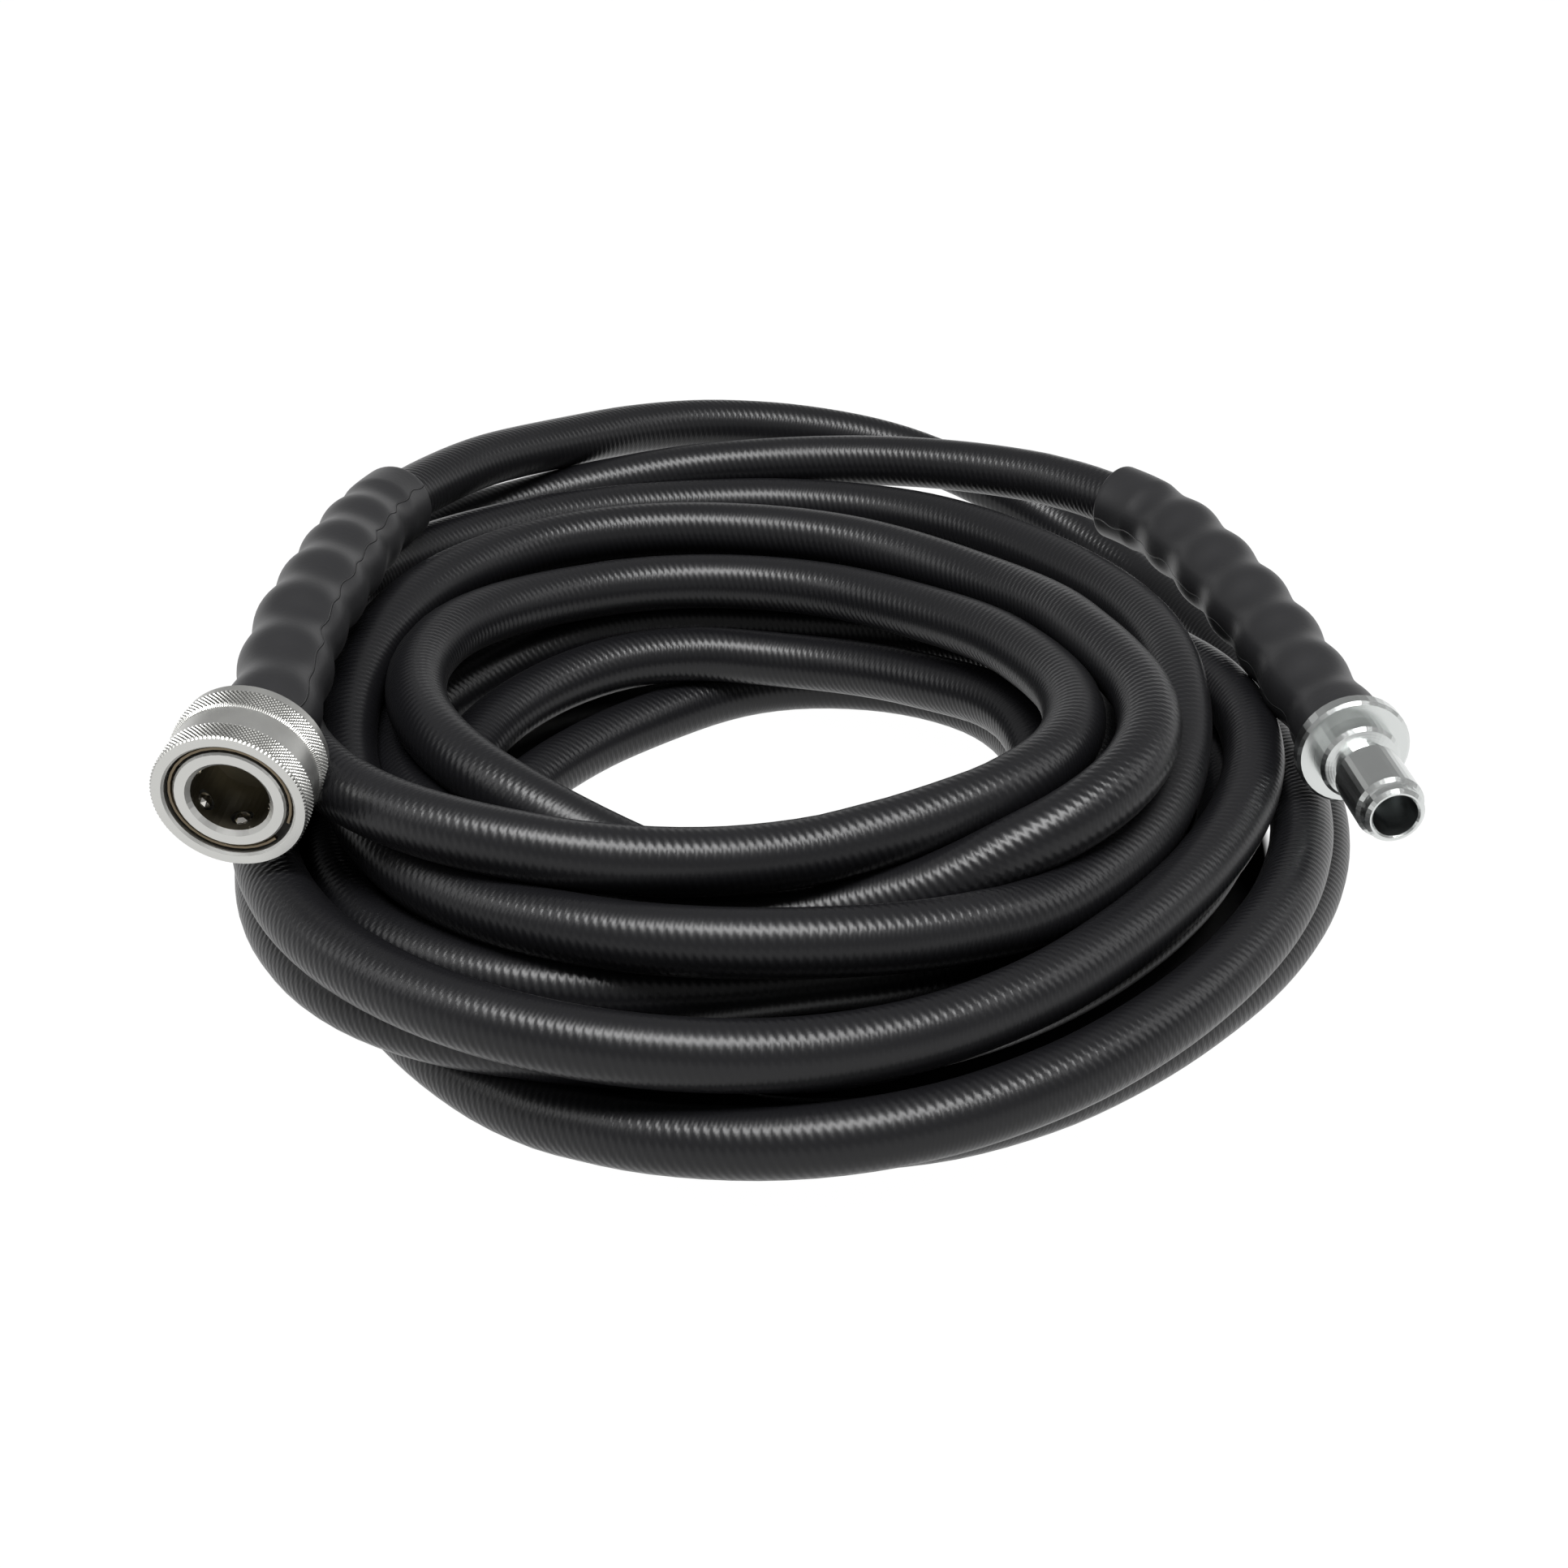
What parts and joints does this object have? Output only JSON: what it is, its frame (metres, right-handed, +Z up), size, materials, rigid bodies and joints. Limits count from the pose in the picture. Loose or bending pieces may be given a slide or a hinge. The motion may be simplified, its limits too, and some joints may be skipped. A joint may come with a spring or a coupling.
{
  "type": "pressure washer hose",
  "caption": "Coiled black high-pressure washer hose with ribbed rubber bend grips, a knurled quick coupler and a quick plug",
  "frame": {"origin": "centre of the bounding box's underside, on the floor that the coil lies on", "axes": "+Z is up, through the flat coil; both fittings point to -Y; the coupler is on the -X side and the plug on the +X side"},
  "size_m": [0.2868, 0.3082, 0.0749],
  "materials": {
    "hose": "satin near-black rubber cover with a fine braid imprint",
    "grip": "matt dark moulded rubber",
    "zinc": "bright zinc-plated turned steel",
    "spring_wire": "brownish spring steel wire"
  },
  "bodies": {
    "hose": {"hose_coil": "hose", "hose_lead_coupler": "hose", "hose_lead_plug": "hose", "grip_coupler": "grip", "grip_plug": "grip", "coupler_body": "zinc", "coupler_snap_ring": "spring_wire", "coupler_ball_1": "zinc", "coupler_ball_2": "zinc", "coupler_ball_3": "zinc", "coupler_ball_4": "zinc", "coupler_ball_5": "zinc", "coupler_ball_6": "zinc", "quick_plug": "zinc"},
    "sleeve": {"coupler_sleeve": "zinc"}
  },
  "joints": [
    {"name": "sleeve_slide", "type": "slide", "parent": "hose", "child": "sleeve", "axis": [0.1, 0.9881, 0.117], "range_m": [0, 0.004], "stiffness_N_per_m": 1200}
  ]
}
